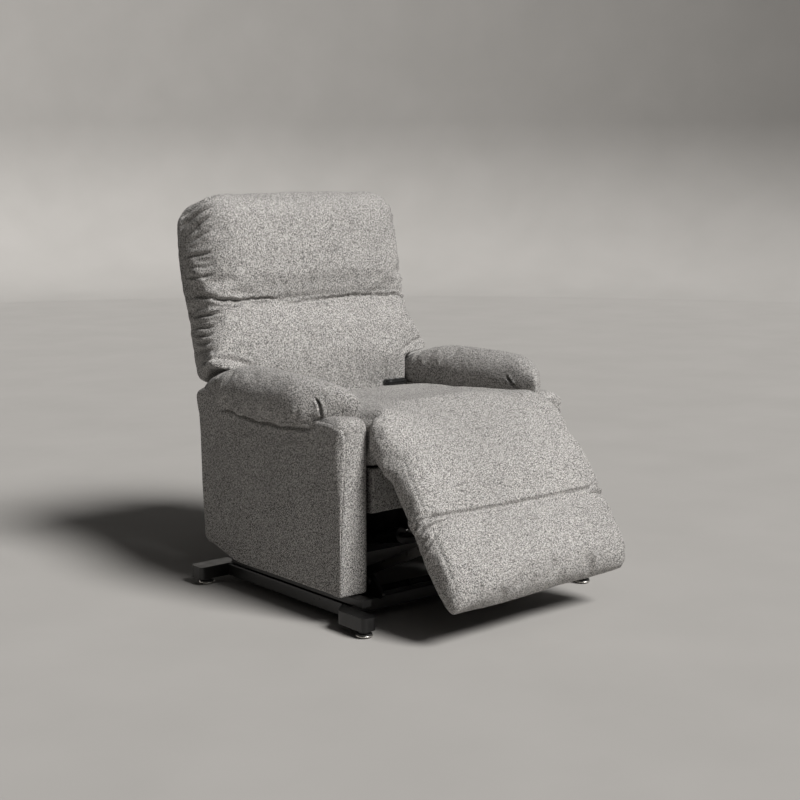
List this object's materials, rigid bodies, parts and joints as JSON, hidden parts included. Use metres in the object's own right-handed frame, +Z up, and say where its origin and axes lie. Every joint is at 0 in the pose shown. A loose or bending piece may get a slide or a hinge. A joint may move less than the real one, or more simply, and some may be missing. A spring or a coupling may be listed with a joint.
{
  "type": "lift recliner chair",
  "caption": "Grey tweed power lift recliner with pillow arms, a winged two-section back, a chaise leg rest and a black steel lift base.",
  "frame": {"origin": "middle of the chair's footprint on the floor, at rest with the leg rest partly open", "axes": "+Z up, +Y towards the back of the chair, +X to the sitter's left"},
  "size_m": [0.93, 1.1749, 1.083],
  "materials": {
    "grey_tweed": "matte",
    "black_steel": "satin",
    "mechanism_steel": "satin",
    "board": "matte",
    "black_plastic": "gloss",
    "button_grey": "satin",
    "glide_plastic": "matte"
  },
  "bodies": {
    "base": {"base_front_tube": "black_steel", "base_rear_tube": "black_steel", "base_rail_left": "black_steel", "base_rail_right": "black_steel", "front_foot_left": "black_steel", "front_foot_right": "black_steel", "rear_foot_left": "black_steel", "rear_foot_right": "black_steel", "glide_front_left": "glide_plastic", "glide_front_right": "glide_plastic", "glide_rear_left": "glide_plastic", "glide_rear_right": "glide_plastic", "lift_stand_left": "black_steel", "lift_stand_right": "black_steel", "motor_bracket": "black_steel"},
    "lift_frame": {"lift_arm_left": "mechanism_steel", "lift_arm_right": "mechanism_steel", "lift_torque_tube": "mechanism_steel"},
    "chair": {"mechanism_plate_left": "mechanism_steel", "mechanism_plate_right": "mechanism_steel", "body_rail_left": "black_steel", "body_rail_right": "black_steel", "arm_outer_panel_left": "grey_tweed", "arm_outer_panel_right": "grey_tweed", "arm_inner_panel_left": "grey_tweed", "arm_inner_panel_right": "grey_tweed", "arm_front_panel_left": "grey_tweed", "arm_front_panel_right": "grey_tweed", "arm_back_panel_left": "grey_tweed", "arm_back_panel_right": "grey_tweed", "arm_pad_left": "grey_tweed", "arm_pad_right": "grey_tweed", "front_apron": "grey_tweed", "rear_cross_rail": "black_steel", "seat_deck": "board", "seat_cushion": "grey_tweed", "hand_control": "black_plastic"},
    "lift_link_left": {"lift_link_left": "mechanism_steel"},
    "lift_link_right": {"lift_link_right": "mechanism_steel"},
    "lift_motor": {"lift_motor_tube": "mechanism_steel", "lift_motor_can": "black_steel"},
    "lift_rod": {"lift_motor_rod": "mechanism_steel"},
    "backrest": {"lumbar_cushion": "grey_tweed", "head_cushion": "grey_tweed", "back_board": "board", "back_rear_panel": "grey_tweed", "back_bracket_left": "mechanism_steel", "back_bracket_right": "mechanism_steel"},
    "legrest": {"leg_rest_pad": "grey_tweed", "leg_rest_board": "board", "leg_bracket_left": "mechanism_steel", "leg_bracket_right": "mechanism_steel"},
    "leg_link_rear_left": {"leg_link_rear_left": "mechanism_steel"},
    "leg_link_rear_right": {"leg_link_rear_right": "mechanism_steel"},
    "leg_link_front_left": {"leg_link_front_left": "mechanism_steel"},
    "leg_link_front_right": {"leg_link_front_right": "mechanism_steel"},
    "button_up": {"button_up": "button_grey"},
    "button_down": {"button_down": "button_grey"}
  },
  "joints": [
    {"name": "lift", "type": "hinge", "parent": "base", "child": "lift_frame", "pos_m": [0, -0.1496, 0.078], "axis": [1, 0, 0], "range_deg": [0, 50]},
    {"name": "body_tilt", "type": "hinge", "parent": "lift_frame", "child": "chair", "pos_m": [0, 0.1704, 0.12], "axis": [1, 0, 0], "range_deg": [-25.5, 0.5]},
    {"name": "lift_link_left_turn", "type": "hinge", "parent": "base", "child": "lift_link_left", "pos_m": [0, -0.2059, 0.0965], "axis": [1, 0, 0], "range_deg": [-0.5, 58]},
    {"name": "lift_link_right_turn", "type": "hinge", "parent": "base", "child": "lift_link_right", "pos_m": [0, -0.2059, 0.0965], "axis": [1, 0, 0], "range_deg": [-0.5, 58]},
    {"name": "lift_motor_tip", "type": "hinge", "parent": "base", "child": "lift_motor", "pos_m": [0, 0.2504, 0.08], "axis": [1, 0, 0], "range_deg": [-0.5, 6]},
    {"name": "lift_rod_push", "type": "slide", "parent": "lift_motor", "child": "lift_rod", "axis": [0, -0.9766, 0.2149], "range_m": [-0.0005, 0.067]},
    {"name": "back_recline", "type": "hinge", "parent": "chair", "child": "backrest", "pos_m": [0, 0.3004, 0.36], "axis": [-1, 0, 0], "range_deg": [0, 38]},
    {"name": "legrest_open", "type": "hinge", "parent": "chair", "child": "legrest", "pos_m": [0, -0.3816, 0.496], "axis": [-1, 0, 0], "range_deg": [-35, 50]},
    {"name": "leg_link_rear_left_turn", "type": "hinge", "parent": "chair", "child": "leg_link_rear_left", "pos_m": [0, -0.0496, 0.345], "axis": [-1, 0, 0], "range_deg": [-35.5, 50.5]},
    {"name": "leg_link_front_left_turn", "type": "hinge", "parent": "leg_link_rear_left", "child": "leg_link_front_left", "pos_m": [0, -0.07765, 0.06996], "axis": [-1, 0, 0], "range_deg": [-50.5, 35.5]},
    {"name": "leg_link_rear_right_turn", "type": "hinge", "parent": "chair", "child": "leg_link_rear_right", "pos_m": [0, -0.0496, 0.345], "axis": [-1, 0, 0], "range_deg": [-35.5, 50.5]},
    {"name": "leg_link_front_right_turn", "type": "hinge", "parent": "leg_link_rear_right", "child": "leg_link_front_right", "pos_m": [0, -0.07765, 0.06996], "axis": [-1, 0, 0], "range_deg": [-50.5, 35.5]},
    {"name": "button_up_press", "type": "slide", "parent": "chair", "child": "button_up", "axis": [0, 0, -1], "range_m": [0, 0.0015], "stiffness_N_per_m": 400, "springref_m": -0.0008},
    {"name": "button_down_press", "type": "slide", "parent": "chair", "child": "button_down", "axis": [0, 0, -1], "range_m": [0, 0.0015], "stiffness_N_per_m": 400, "springref_m": -0.0008}
  ],
  "couplings": [
    {"joint": "body_tilt", "follows": "lift", "ratio": -0.5},
    {"joint": "lift_link_left_turn", "follows": "lift", "ratio": 1.1451},
    {"joint": "lift_link_right_turn", "follows": "lift", "ratio": 1.1451},
    {"joint": "lift_motor_tip", "follows": "lift", "ratio": 0.1032},
    {"joint": "lift_rod_push", "follows": "lift", "m_per_rad": 0.0752},
    {"joint": "leg_link_rear_left_turn", "follows": "legrest_open", "ratio": 1},
    {"joint": "leg_link_front_left_turn", "follows": "legrest_open", "ratio": -1},
    {"joint": "leg_link_rear_right_turn", "follows": "legrest_open", "ratio": 1},
    {"joint": "leg_link_front_right_turn", "follows": "legrest_open", "ratio": -1}
  ]
}
